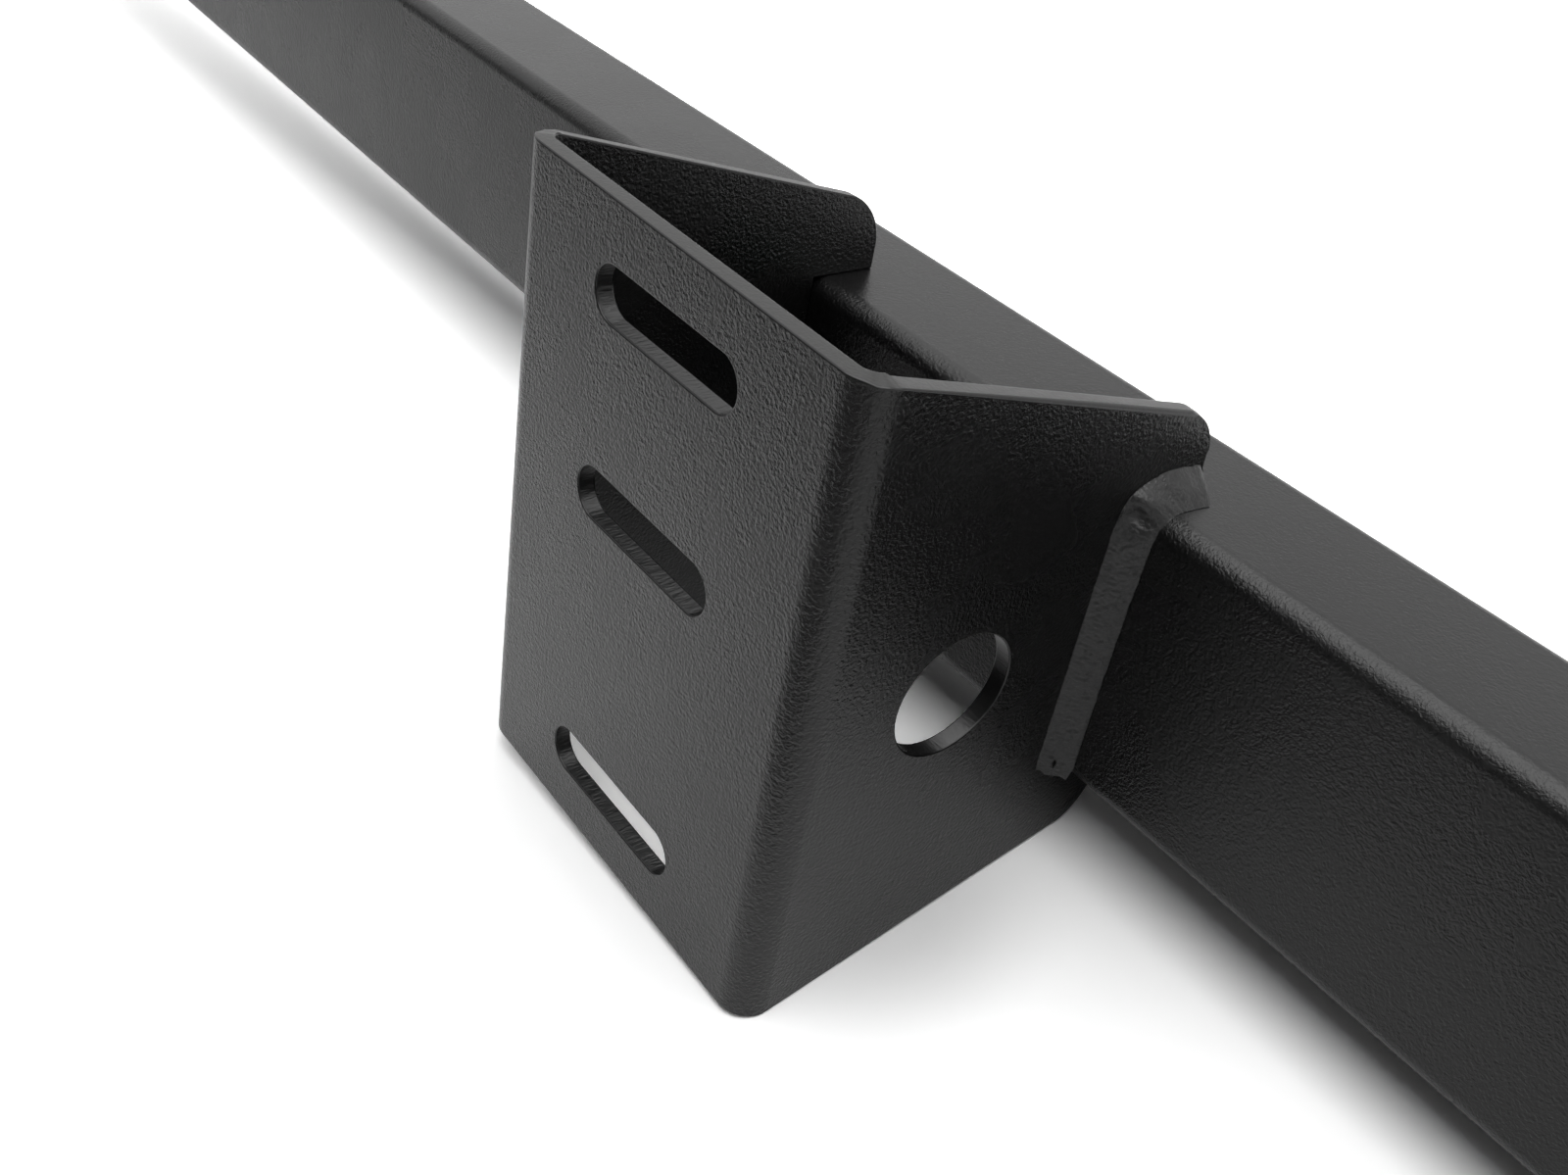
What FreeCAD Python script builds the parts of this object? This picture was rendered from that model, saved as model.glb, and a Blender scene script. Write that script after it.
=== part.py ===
import FreeCAD, Part

import math
import os

import Sketcher
from FreeCAD import Placement, Rotation, Vector

# Roof rack crossbar: a rectangular steel tube on edge, with two folded plate brackets welded to
# its front. X runs along the bar, the brackets' slotted plates face -Y and Z is up. The origin
# is the middle of the four outer slots, on the plates' front faces.

# Driving dimensions, millimetres and degrees
SIZES = {
    "bar_length": 1250,
    "tube_width": 30,
    "tube_height": 50,
    "tube_wall": 2,
    "tube_corner_radius": 3.5,
    "smallest_inner_radius": 0.5,
    "bracket_spacing": 900,
    "bracket_width": 80,
    "plate_height": 110,
    "plate_thickness": 3,
    "bend_radius": 5.5,
    "plate_to_tube": 57,
    "arm_reach": 13,
    "arm_corner_radius": 10,
    "taper_start": 3.6,
    "kink_radius": 4,
    "top_taper": 15,
    "bottom_taper": 13,
    "edge_rounding": 0.4,
    "slot_length": 34,
    "slot_width": 8.4,
    "outer_slot_spacing": 83,
    "middle_slot_height": 9.5,
    "bore_diameter": 21,
    "bore_setback": 28.5,
    "weld_leg_on_bracket": 4,
    "weld_leg_on_tube": 4.8,
    "cap_thickness": 2.5,
    "cap_edge_rounding": 1,
    "plug_depth": 16,
    "plug_wall": 2,
    "plug_clearance": 0.15,
    "cutter_margin": 10,
}

ACROSS_BRACKET = "Sizes.bracket_width + 2 * Sizes.cutter_margin"
RIGHT_ANGLE = 90
SHARP_EDGE_DEGREES = 20
CONTACT_TOLERANCE = 0.01

doc = FreeCAD.newDocument("roof_rack_crossbar")
sheet = doc.addObject("Spreadsheet::Sheet", "Sizes")
for row, (alias, value) in enumerate(SIZES.items(), start=1):
    sheet.set(f"A{row}", alias)
    sheet.set(f"B{row}", str(value))
    sheet.setAlias(f"B{row}", alias)
doc.recompute()


def size(alias):
    """Value of one driving dimension, for the first placing of sketch geometry."""
    return float(sheet.get(alias))


# Sketch helpers


def new_sketch(body, name, plane):
    """Sketch attached to one of the body's own origin planes, such as XY_Plane."""
    sketch = body.newObject("Sketcher::SketchObject", name)
    origin_plane = next(item for item in body.Origin.OriginFeatures if item.Role == plane)
    sketch.AttachmentSupport = [(origin_plane, "")]
    sketch.MapMode = "FlatFace"
    return sketch


def add_line(sketch, start, end):
    """Straight edge between two sketch points."""
    return sketch.addGeometry(Part.LineSegment(Vector(*start, 0), Vector(*end, 0)), False)


def add_arc(sketch, centre, radius, from_degrees, to_degrees):
    """Counterclockwise arc between two angles."""
    circle = Part.Circle(Vector(*centre, 0), Vector(0, 0, 1), radius)
    return sketch.addGeometry(Part.ArcOfCircle(circle, math.radians(from_degrees), math.radians(to_degrees)), False)


def relate(sketch, kind, *places):
    """Constraint without a size, such as Tangent or Horizontal."""
    return sketch.addConstraint(Sketcher.Constraint(kind, *places))


def dimension(sketch, kind, places, value, expression):
    """Constraint with a size that follows the sheet."""
    index = sketch.addConstraint(Sketcher.Constraint(kind, *places, value))
    sketch.setExpression(f"Constraints[{index}]", expression)
    return index


def rounded_rectangle(sketch, width, height, radius, expressions):
    """Rectangle with rounded corners about the sketch's origin; width runs along the sketch's x."""
    right, top = width / 2, height / 2
    bottom_line = add_line(sketch, (radius - right, -top), (right - radius, -top))
    corner_a = add_arc(sketch, (right - radius, radius - top), radius, 270, 360)
    right_line = add_line(sketch, (right, radius - top), (right, top - radius))
    corner_b = add_arc(sketch, (right - radius, top - radius), radius, 0, 90)
    top_line = add_line(sketch, (right - radius, top), (radius - right, top))
    corner_c = add_arc(sketch, (radius - right, top - radius), radius, 90, 180)
    left_line = add_line(sketch, (-right, top - radius), (-right, radius - top))
    corner_d = add_arc(sketch, (radius - right, radius - top), radius, 180, 270)
    loop = [bottom_line, corner_a, right_line, corner_b, top_line, corner_c, left_line, corner_d]
    for first, second in zip(loop, loop[1:] + loop[:1]):
        relate(sketch, "Tangent", first, 2, second, 1)
    for line in (bottom_line, top_line):
        relate(sketch, "Horizontal", line)
    for line in (left_line, right_line):
        relate(sketch, "Vertical", line)
    for corner in (corner_b, corner_c, corner_d):
        relate(sketch, "Equal", corner_a, corner)
    relate(sketch, "Symmetric", corner_a, 3, corner_c, 3, -1, 1)
    width_expression, height_expression, radius_expression = expressions
    dimension(sketch, "Radius", (corner_a,), radius, radius_expression)
    dimension(sketch, "Distance", (left_line, 1, right_line), width, width_expression)
    dimension(sketch, "Distance", (bottom_line, 1, top_line), height, height_expression)


def add_pad(body, name, sketch, length_expression, both_ways=False, backwards=False):
    """Pad of a sketch whose length follows the sheet."""
    pad = body.newObject("PartDesign::Pad", name)
    pad.Profile = sketch
    pad.Midplane = both_ways
    pad.Reversed = backwards
    pad.setExpression("Length", length_expression)
    return pad


def add_cut(body, name, sketch, length_expression):
    """Pocket that runs both ways from its sketch."""
    before = body.Shape.Volume
    pocket = body.newObject("PartDesign::Pocket", name)
    pocket.Profile = sketch
    pocket.Midplane = True
    pocket.setExpression("Length", length_expression)
    doc.recompute()
    if not body.Shape.Volume < before:
        raise RuntimeError(f"{name} removed nothing")
    return pocket


def sharp_edges(shape, keep):
    """Names of the edges where two faces meet at an angle, where keep says yes to the edge."""
    names = []
    for index, edge in enumerate(shape.Edges, start=1):
        faces = shape.ancestorsOfType(edge, Part.Face)
        if len(faces) != 2 or not keep(edge):
            continue
        middle = edge.valueAt((edge.FirstParameter + edge.LastParameter) / 2)
        normals = [face.normalAt(*face.Surface.parameter(middle)) for face in faces]
        if math.degrees(normals[0].getAngle(normals[1])) > SHARP_EDGE_DEGREES:
            names.append(f"Edge{index}")
    return names


def round_edges(body, name, keep, radius_expression):
    """Fillet on the body's sharp edges that keep says yes to."""
    doc.recompute()
    finished = body.Tip
    edge_names = sharp_edges(finished.Shape, keep)
    rounding = body.newObject("PartDesign::Fillet", name)
    rounding.Base = (finished, edge_names)
    rounding.setExpression("Radius", radius_expression)


# Tube


def build_tube():
    """Rectangular tube on edge, open at both ends, with rounded corners inside and out."""
    body = doc.addObject("PartDesign::Body", "crossbar_tube")
    section = new_sketch(body, "tube_section", "YZ_Plane")
    inner_radius = max(size("tube_corner_radius") - size("tube_wall"), size("smallest_inner_radius"))
    rounded_rectangle(
        section,
        size("tube_width"),
        size("tube_height"),
        size("tube_corner_radius"),
        ("Sizes.tube_width", "Sizes.tube_height", "Sizes.tube_corner_radius"),
    )
    rounded_rectangle(
        section,
        size("tube_width") - 2 * size("tube_wall"),
        size("tube_height") - 2 * size("tube_wall"),
        inner_radius,
        (
            "Sizes.tube_width - 2 * Sizes.tube_wall",
            "Sizes.tube_height - 2 * Sizes.tube_wall",
            "max(Sizes.tube_corner_radius - Sizes.tube_wall; Sizes.smallest_inner_radius)",
        ),
    )
    add_pad(body, "tube_length", section, "Sizes.bar_length", both_ways=True)
    body.setExpression("Placement.Base.y", "Sizes.plate_to_tube + Sizes.tube_width / 2")
    return body


# End caps


def build_end_cap(name, side):
    """Plastic cap over the tube's end, with a hollow plug that slides inside the tube."""
    body = doc.addObject("PartDesign::Body", name)
    cover = new_sketch(body, f"{name}_cover", "YZ_Plane")
    rounded_rectangle(
        cover,
        size("tube_width"),
        size("tube_height"),
        size("tube_corner_radius"),
        ("Sizes.tube_width", "Sizes.tube_height", "Sizes.tube_corner_radius"),
    )
    add_pad(body, f"{name}_cover_pad", cover, "Sizes.cap_thickness")
    gap = size("tube_wall") + size("plug_clearance")
    radius = max(size("tube_corner_radius") - size("tube_wall"), size("smallest_inner_radius"))
    plug = new_sketch(body, f"{name}_plug", "YZ_Plane")
    rounded_rectangle(
        plug,
        size("tube_width") - 2 * gap,
        size("tube_height") - 2 * gap,
        radius,
        (
            "Sizes.tube_width - 2 * (Sizes.tube_wall + Sizes.plug_clearance)",
            "Sizes.tube_height - 2 * (Sizes.tube_wall + Sizes.plug_clearance)",
            "max(Sizes.tube_corner_radius - Sizes.tube_wall; Sizes.smallest_inner_radius)",
        ),
    )
    inset = gap + size("plug_wall")
    rounded_rectangle(
        plug,
        size("tube_width") - 2 * inset,
        size("tube_height") - 2 * inset,
        size("smallest_inner_radius"),
        (
            "Sizes.tube_width - 2 * (Sizes.tube_wall + Sizes.plug_clearance + Sizes.plug_wall)",
            "Sizes.tube_height - 2 * (Sizes.tube_wall + Sizes.plug_clearance + Sizes.plug_wall)",
            "Sizes.smallest_inner_radius",
        ),
    )
    add_pad(body, f"{name}_plug_pad", plug, "Sizes.plug_depth", backwards=True)
    face_x = size("cap_thickness")

    def on_outer_rim(edge):
        return abs(edge.CenterOfMass.x - face_x) < CONTACT_TOLERANCE

    round_edges(body, f"{name}_rim", on_outer_rim, "min(Sizes.cap_edge_rounding; Sizes.cap_thickness / 2)")
    body.Placement = Placement(Vector(), Rotation(Vector(0, 0, 1), 0 if side > 0 else 2 * RIGHT_ANGLE))
    body.setExpression("Placement.Base.x", f"{side} * Sizes.bar_length / 2")
    body.setExpression("Placement.Base.y", "Sizes.plate_to_tube + Sizes.tube_width / 2")
    return body


# Brackets


def draw_channel(sketch):
    """Plan of the folded plate: front plate, two bends and two flanges that reach past the tube's face."""
    half = size("bracket_width") / 2
    thick = size("plate_thickness")
    bend = size("bend_radius")
    back = size("plate_to_tube") + size("arm_reach")
    front = add_line(sketch, (bend - half, 0), (half - bend, 0))
    right_bend = add_arc(sketch, (half - bend, bend), bend, 270, 360)
    right_outside = add_line(sketch, (half, bend), (half, back))
    right_end = add_line(sketch, (half, back), (half - thick, back))
    right_inside = add_line(sketch, (half - thick, back), (half - thick, bend))
    right_inner_bend = add_arc(sketch, (half - bend, bend), bend - thick, 270, 360)
    rear = add_line(sketch, (half - bend, thick), (bend - half, thick))
    left_inner_bend = add_arc(sketch, (bend - half, bend), bend - thick, 180, 270)
    left_inside = add_line(sketch, (thick - half, bend), (thick - half, back))
    left_end = add_line(sketch, (thick - half, back), (-half, back))
    left_outside = add_line(sketch, (-half, back), (-half, bend))
    left_bend = add_arc(sketch, (bend - half, bend), bend, 180, 270)
    relate(sketch, "Tangent", front, 2, right_bend, 1)
    relate(sketch, "Tangent", right_bend, 2, right_outside, 1)
    relate(sketch, "Coincident", right_outside, 2, right_end, 1)
    relate(sketch, "Coincident", right_end, 2, right_inside, 1)
    relate(sketch, "Tangent", right_inside, 2, right_inner_bend, 2)
    relate(sketch, "Tangent", right_inner_bend, 1, rear, 1)
    relate(sketch, "Tangent", rear, 2, left_inner_bend, 2)
    relate(sketch, "Tangent", left_inner_bend, 1, left_inside, 1)
    relate(sketch, "Coincident", left_inside, 2, left_end, 1)
    relate(sketch, "Coincident", left_end, 2, left_outside, 1)
    relate(sketch, "Tangent", left_outside, 2, left_bend, 1)
    relate(sketch, "Tangent", left_bend, 2, front, 1)
    relate(sketch, "Coincident", right_bend, 3, right_inner_bend, 3)
    relate(sketch, "Coincident", left_bend, 3, left_inner_bend, 3)
    for line in (front, rear, right_end, left_end):
        relate(sketch, "Horizontal", line)
    for line in (right_outside, right_inside, left_outside, left_inside):
        relate(sketch, "Vertical", line)
    relate(sketch, "Symmetric", front, 1, front, 2, -1, 1)
    relate(sketch, "Equal", right_bend, left_bend)
    relate(sketch, "Equal", right_outside, left_outside)
    dimension(sketch, "Radius", (right_bend,), bend, "Sizes.bend_radius")
    dimension(sketch, "DistanceX", (left_outside, 1, right_outside, 2), 2 * half, "Sizes.bracket_width")
    dimension(sketch, "Distance", (rear, 1, front), thick, "Sizes.plate_thickness")
    dimension(sketch, "DistanceY", (-1, 1, right_outside, 2), back, "Sizes.plate_to_tube + Sizes.arm_reach")


def draw_taper(sketch, direction, taper):
    """Waste above (direction 1) or below (-1) the flanges: a soft kink, a slope and a rounded back corner."""
    start = size("taper_start")
    edge = size("plate_height") / 2
    back = size("plate_to_tube") + size("arm_reach")
    kink_radius = size("kink_radius")
    radius = size("arm_corner_radius")
    margin = size("cutter_margin")
    taper_degrees = size(taper)
    angle = math.radians(taper_degrees)
    kink_end = (start + kink_radius * math.sin(angle), edge - kink_radius * (1 - math.cos(angle)))
    kink_y = start + kink_radius * math.tan(angle / 2)
    centre = (back - radius, edge - (back - radius - kink_y) * math.tan(angle) - radius / math.cos(angle))
    touch = (centre[0] + radius * math.sin(angle), centre[1] + radius * math.cos(angle))

    def place(point):
        return (point[0], direction * point[1])

    slope = add_line(sketch, place(kink_end), place(touch))
    kink_centre = place((start, edge - kink_radius))
    if direction > 0:
        kink = add_arc(sketch, kink_centre, kink_radius, RIGHT_ANGLE - taper_degrees, RIGHT_ANGLE)
        corner = add_arc(sketch, place(centre), radius, 0, RIGHT_ANGLE - taper_degrees)
    else:
        kink = add_arc(sketch, kink_centre, kink_radius, -RIGHT_ANGLE, taper_degrees - RIGHT_ANGLE)
        corner = add_arc(sketch, place(centre), radius, taper_degrees - RIGHT_ANGLE, 0)
    outward = add_line(sketch, place((back, centre[1])), place((back + margin, centre[1])))
    rise = add_line(sketch, place((back + margin, centre[1])), place((back + margin, edge + margin)))
    along = add_line(sketch, place((back + margin, edge + margin)), place((start, edge + margin)))
    close = add_line(sketch, place((start, edge + margin)), place((start, edge)))
    if direction > 0:
        relate(sketch, "Tangent", slope, 1, kink, 1)
        relate(sketch, "Coincident", kink, 2, close, 2)
        relate(sketch, "Tangent", slope, 2, corner, 2)
        relate(sketch, "Coincident", corner, 1, outward, 1)
    else:
        relate(sketch, "Tangent", slope, 1, kink, 2)
        relate(sketch, "Coincident", kink, 1, close, 2)
        relate(sketch, "Tangent", slope, 2, corner, 1)
        relate(sketch, "Coincident", corner, 2, outward, 1)
    relate(sketch, "Vertical", kink, 3, close, 2)
    relate(sketch, "Horizontal", corner, 3, outward, 1)
    relate(sketch, "Coincident", outward, 2, rise, 1)
    relate(sketch, "Coincident", rise, 2, along, 1)
    relate(sketch, "Coincident", along, 2, close, 1)
    relate(sketch, "Horizontal", outward)
    relate(sketch, "Vertical", rise)
    relate(sketch, "Horizontal", along)
    relate(sketch, "Vertical", close)
    dimension(sketch, "Radius", (kink,), kink_radius, "Sizes.kink_radius")
    dimension(sketch, "Radius", (corner,), radius, "Sizes.arm_corner_radius")
    dimension(sketch, "DistanceX", (-1, 1, close, 2), start, "Sizes.taper_start")
    dimension(sketch, "DistanceX", (-1, 1, outward, 1), back, "Sizes.plate_to_tube + Sizes.arm_reach")
    dimension(sketch, "Distance", (outward,), margin, "Sizes.cutter_margin")
    dimension(sketch, "Distance", (close,), margin, "Sizes.cutter_margin")
    height_places = (-1, 1, close, 2) if direction > 0 else (close, 2, -1, 1)
    dimension(sketch, "DistanceY", height_places, edge, "Sizes.plate_height / 2")
    angle_places = (slope, 1, close, 2) if direction > 0 else (close, 2, slope, 1)
    opening = math.radians(RIGHT_ANGLE) + angle
    dimension(sketch, "Angle", angle_places, opening, f"({RIGHT_ANGLE} + Sizes.{taper}) * 1 deg")


def draw_notch(sketch):
    """Square notch in the flanges' back edge that seats on the tube's front, top and bottom faces."""
    front = size("plate_to_tube")
    back = front + size("arm_reach") + size("cutter_margin")
    half = size("tube_height") / 2
    seat = add_line(sketch, (front, -half), (front, half))
    top = add_line(sketch, (front, half), (back, half))
    mouth = add_line(sketch, (back, half), (back, -half))
    bottom = add_line(sketch, (back, -half), (front, -half))
    loop = [seat, top, mouth, bottom]
    for first, second in zip(loop, loop[1:] + loop[:1]):
        relate(sketch, "Coincident", first, 2, second, 1)
    relate(sketch, "Horizontal", top)
    relate(sketch, "Horizontal", bottom)
    relate(sketch, "Vertical", mouth)
    relate(sketch, "Symmetric", seat, 1, seat, 2, -1)
    dimension(sketch, "DistanceX", (-1, 1, seat, 1), front, "Sizes.plate_to_tube")
    dimension(sketch, "Distance", (seat,), 2 * half, "Sizes.tube_height")
    dimension(sketch, "Distance", (top,), back - front, "Sizes.arm_reach + Sizes.cutter_margin")


def draw_slot(sketch, height, height_expression):
    """Slot with round ends that runs along X, centred on the plate."""
    radius = size("slot_width") / 2
    reach = size("slot_length") / 2 - radius
    bottom = add_line(sketch, (-reach, height - radius), (reach, height - radius))
    right = add_arc(sketch, (reach, height), radius, -90, 90)
    top = add_line(sketch, (reach, height + radius), (-reach, height + radius))
    left = add_arc(sketch, (-reach, height), radius, 90, 270)
    relate(sketch, "Tangent", bottom, 2, right, 1)
    relate(sketch, "Tangent", right, 2, top, 1)
    relate(sketch, "Tangent", top, 2, left, 1)
    relate(sketch, "Tangent", left, 2, bottom, 1)
    relate(sketch, "Horizontal", bottom)
    relate(sketch, "Symmetric", left, 3, right, 3, -2)
    dimension(sketch, "Radius", (right,), radius, "Sizes.slot_width / 2")
    dimension(sketch, "DistanceX", (left, 3, right, 3), 2 * reach, "Sizes.slot_length - Sizes.slot_width")
    if height < 0:
        dimension(sketch, "DistanceY", (right, 3, -1, 1), -height, height_expression)
    else:
        dimension(sketch, "DistanceY", (-1, 1, right, 3), height, height_expression)


def build_bracket(name, side):
    """Folded plate bracket with three slots in front and a round hole through both flanges."""
    body = doc.addObject("PartDesign::Body", name)
    channel = new_sketch(body, f"{name}_channel", "XY_Plane")
    draw_channel(channel)
    add_pad(body, f"{name}_plate", channel, "Sizes.plate_height", both_ways=True)
    doc.recompute()
    outline = new_sketch(body, f"{name}_outline", "YZ_Plane")
    draw_taper(outline, 1, "top_taper")
    draw_taper(outline, -1, "bottom_taper")
    draw_notch(outline)
    add_cut(body, f"{name}_flange_outline", outline, ACROSS_BRACKET)
    slots = new_sketch(body, f"{name}_slots", "XZ_Plane")
    draw_slot(slots, size("outer_slot_spacing") / 2, "Sizes.outer_slot_spacing / 2")
    draw_slot(slots, size("middle_slot_height"), "Sizes.middle_slot_height")
    draw_slot(slots, -size("outer_slot_spacing") / 2, "Sizes.outer_slot_spacing / 2")
    add_cut(body, f"{name}_slot_cut", slots, "2 * (Sizes.plate_thickness + Sizes.edge_rounding)")
    bore = new_sketch(body, f"{name}_bore", "YZ_Plane")
    centre = Vector(size("bore_setback"), 0, 0)
    circle = bore.addGeometry(Part.Circle(centre, Vector(0, 0, 1), size("bore_diameter") / 2), False)
    relate(bore, "PointOnObject", circle, 3, -1)
    dimension(bore, "DistanceX", (-1, 1, circle, 3), size("bore_setback"), "Sizes.bore_setback")
    dimension(bore, "Diameter", (circle,), size("bore_diameter"), "Sizes.bore_diameter")
    add_cut(body, f"{name}_bore_cut", bore, ACROSS_BRACKET)
    seat_y = size("plate_to_tube")
    half_tube = size("tube_height") / 2

    def off_the_seat(edge):
        box = edge.BoundBox
        behind_face = box.YMin > seat_y - CONTACT_TOLERANCE
        within_tube = max(-box.ZMin, box.ZMax) < half_tube + CONTACT_TOLERANCE
        return not (behind_face and within_tube)

    round_edges(body, f"{name}_edges", off_the_seat, "min(Sizes.edge_rounding; Sizes.plate_thickness / 4)")
    body.setExpression("Placement.Base.x", f"{side} * Sizes.bracket_spacing / 2")
    return body


# Welds on the outer face of the right bracket's right flange, and their mirror images


def draw_weld_section(sketch, corner, direction):
    """Three-cornered weld section with one leg along x, the other along y in the given direction."""
    on_tube = size("weld_leg_on_tube")
    on_bracket = size("weld_leg_on_bracket")
    corner_x, corner_y = corner
    tube_leg = add_line(sketch, (corner_x, corner_y), (corner_x + on_tube, corner_y))
    face = add_line(sketch, (corner_x + on_tube, corner_y), (corner_x, corner_y + direction * on_bracket))
    bracket_leg = add_line(sketch, (corner_x, corner_y + direction * on_bracket), (corner_x, corner_y))
    relate(sketch, "Coincident", tube_leg, 2, face, 1)
    relate(sketch, "Coincident", face, 2, bracket_leg, 1)
    relate(sketch, "Coincident", bracket_leg, 2, tube_leg, 1)
    relate(sketch, "Horizontal", tube_leg)
    relate(sketch, "Vertical", bracket_leg)
    relate(sketch, "PointOnObject", tube_leg, 1, -2)
    dimension(sketch, "Distance", (tube_leg,), on_tube, "Sizes.weld_leg_on_tube")
    dimension(sketch, "Distance", (bracket_leg,), on_bracket, "Sizes.weld_leg_on_bracket")
    return tube_leg


def place_weld(body):
    """Put a weld's own origin on the corner between the flange's outer face and the tube's front face."""
    body.setExpression("Placement.Base.x", "Sizes.bracket_spacing / 2 + Sizes.bracket_width / 2")
    body.setExpression("Placement.Base.y", "Sizes.plate_to_tube")


def build_front_weld(name):
    """Straight fillet weld up the tube's front face, between its rounded corners."""
    body = doc.addObject("PartDesign::Body", name)
    section = new_sketch(body, f"{name}_section", "XY_Plane")
    tube_leg = draw_weld_section(section, (0, 0), -1)
    relate(section, "PointOnObject", tube_leg, 1, -1)
    add_pad(body, f"{name}_run", section, "Sizes.tube_height - 2 * Sizes.tube_corner_radius", both_ways=True)
    place_weld(body)
    return body


def build_top_weld(name):
    """Fillet weld that turns over the tube's rounded corner and runs back along its top face."""
    body = doc.addObject("PartDesign::Body", name)
    radius = size("tube_corner_radius")
    turn_section = new_sketch(body, f"{name}_turn_section", "XY_Plane")
    turn_section.setExpression("AttachmentOffset.Base.y", "Sizes.tube_corner_radius")
    turn_section.setExpression("AttachmentOffset.Base.z", "Sizes.tube_height / 2 - Sizes.tube_corner_radius")
    tube_leg = draw_weld_section(turn_section, (0, -radius), -1)
    dimension(turn_section, "DistanceY", (tube_leg, 1, -1, 1), radius, "Sizes.tube_corner_radius")
    turn = body.newObject("PartDesign::Revolution", f"{name}_turn")
    turn.Profile = turn_section
    turn.ReferenceAxis = (turn_section, ["H_Axis"])
    turn.Angle = RIGHT_ANGLE
    turn.Reversed = True
    top_section = new_sketch(body, f"{name}_top_section", "XZ_Plane")
    top_section.setExpression("AttachmentOffset.Base.z", "-Sizes.tube_corner_radius")
    half = size("tube_height") / 2
    top_leg = draw_weld_section(top_section, (0, half), 1)
    dimension(top_section, "DistanceY", (-1, 1, top_leg, 1), half, "Sizes.tube_height / 2")
    add_pad(body, f"{name}_run", top_section, "Sizes.arm_reach - Sizes.tube_corner_radius", backwards=True)
    place_weld(body)
    return body


def mirror_across(source, name, plane_x_expression=None):
    """Mirror image across a plane square to X: the bar's middle, or the x that the expression gives."""
    image = doc.addObject("Part::Mirroring", name)
    image.Source = source
    image.Normal = Vector(1, 0, 0)
    if plane_x_expression:
        image.setExpression("Base.x", plane_x_expression)
    return image


def build_welds():
    """Front and top weld on both flanges of both brackets."""
    welds = []
    for kind, build in (("front", build_front_weld), ("top", build_top_weld)):
        right_outer = build(f"right_outer_{kind}_weld")
        right_inner = mirror_across(right_outer, f"right_inner_{kind}_weld", "Sizes.bracket_spacing / 2")
        left_outer = mirror_across(right_outer, f"left_outer_{kind}_weld")
        left_inner = mirror_across(right_inner, f"left_inner_{kind}_weld")
        welds += [right_outer, right_inner, left_outer, left_inner]
    return welds


# Build, test and write

pieces = [build_tube()]
pieces += [build_end_cap("left_end_cap", -1), build_end_cap("right_end_cap", 1)]
pieces += [build_bracket("left_bracket", -1), build_bracket("right_bracket", 1)]
pieces += build_welds()
for piece in pieces:
    piece.Label = piece.Name
doc.recompute()

for item in doc.Objects:
    if "Invalid" in item.State or "Error" in item.State:
        raise RuntimeError(f"{item.Name} failed: {item.State}")
for piece in pieces:
    if piece.Shape.isNull() or not piece.Shape.isValid():
        raise RuntimeError(f"{piece.Label} has no valid shape")

os.makedirs("parts", exist_ok=True)
for piece in pieces:
    piece.Shape.exportStep(f"parts/{piece.Label}.step")
    box = piece.Shape.BoundBox
    print(f"{piece.Label}: {piece.Shape.Volume:.1f} mm3, {len(piece.Shape.Solids)} solid,",
          f"x {box.XMin:.2f} to {box.XMax:.2f}, y {box.YMin:.2f} to {box.YMax:.2f}, z {box.ZMin:.2f} to {box.ZMax:.2f}")
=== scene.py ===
import math

import bmesh
import bpy
from mathutils import Matrix, Vector, noise


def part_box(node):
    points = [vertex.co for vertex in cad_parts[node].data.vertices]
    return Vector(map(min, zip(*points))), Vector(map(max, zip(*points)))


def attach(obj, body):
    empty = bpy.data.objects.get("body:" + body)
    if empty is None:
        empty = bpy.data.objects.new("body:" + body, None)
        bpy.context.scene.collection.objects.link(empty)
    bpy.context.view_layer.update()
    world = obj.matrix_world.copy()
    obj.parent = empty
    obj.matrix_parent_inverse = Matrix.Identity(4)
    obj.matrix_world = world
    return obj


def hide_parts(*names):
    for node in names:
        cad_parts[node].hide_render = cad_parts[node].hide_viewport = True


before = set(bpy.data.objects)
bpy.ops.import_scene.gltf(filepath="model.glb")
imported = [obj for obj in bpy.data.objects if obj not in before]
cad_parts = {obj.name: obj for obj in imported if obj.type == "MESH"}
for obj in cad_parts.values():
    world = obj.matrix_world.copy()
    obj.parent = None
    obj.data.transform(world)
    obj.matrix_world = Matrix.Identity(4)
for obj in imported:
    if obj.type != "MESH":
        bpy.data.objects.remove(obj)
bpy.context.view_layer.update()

# Roof rack crossbar. Lengths are in metres, X along the bar, -Y out of the slotted plates, Z up.
MM = 0.001

# Tube
TUBE_CORNER_RADIUS = 3.5 * MM
TUBE_CORNER_SEGMENTS = 12
TUBE_WALL = 2 * MM
TUBE_FRONT = 57 * MM
TUBE_TOP = 25 * MM

# Brackets
BRACKET_CENTRE = 450 * MM
BRACKET_WIDTH = 80 * MM
PLATE_HEIGHT = 110 * MM
PLATE_THICKNESS = 3 * MM
ARM_END = 70 * MM
FOLD_RADIUS = 5.5 * MM
TAPER_START = 3.6 * MM
TOP_TAPER = math.radians(15)
BOTTOM_TAPER = math.radians(13)
EDGE_TAPERS = ((1, TOP_TAPER), (-1, BOTTOM_TAPER))
ARM_CORNER_RADIUS = 10 * MM
ARM_END_MARGIN = 0.1 * MM
BEND_SEGMENTS = 14
KINK_REACH = 0.2 * MM
KINK_MERGE = 0.15 * MM
SLOT_HEIGHTS = (41.5 * MM, 9.5 * MM, -41.5 * MM)
SLOT_LENGTH = 34 * MM
SLOT_WIDTH = 8.4 * MM
SLOT_SEGMENTS = 40
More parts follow.
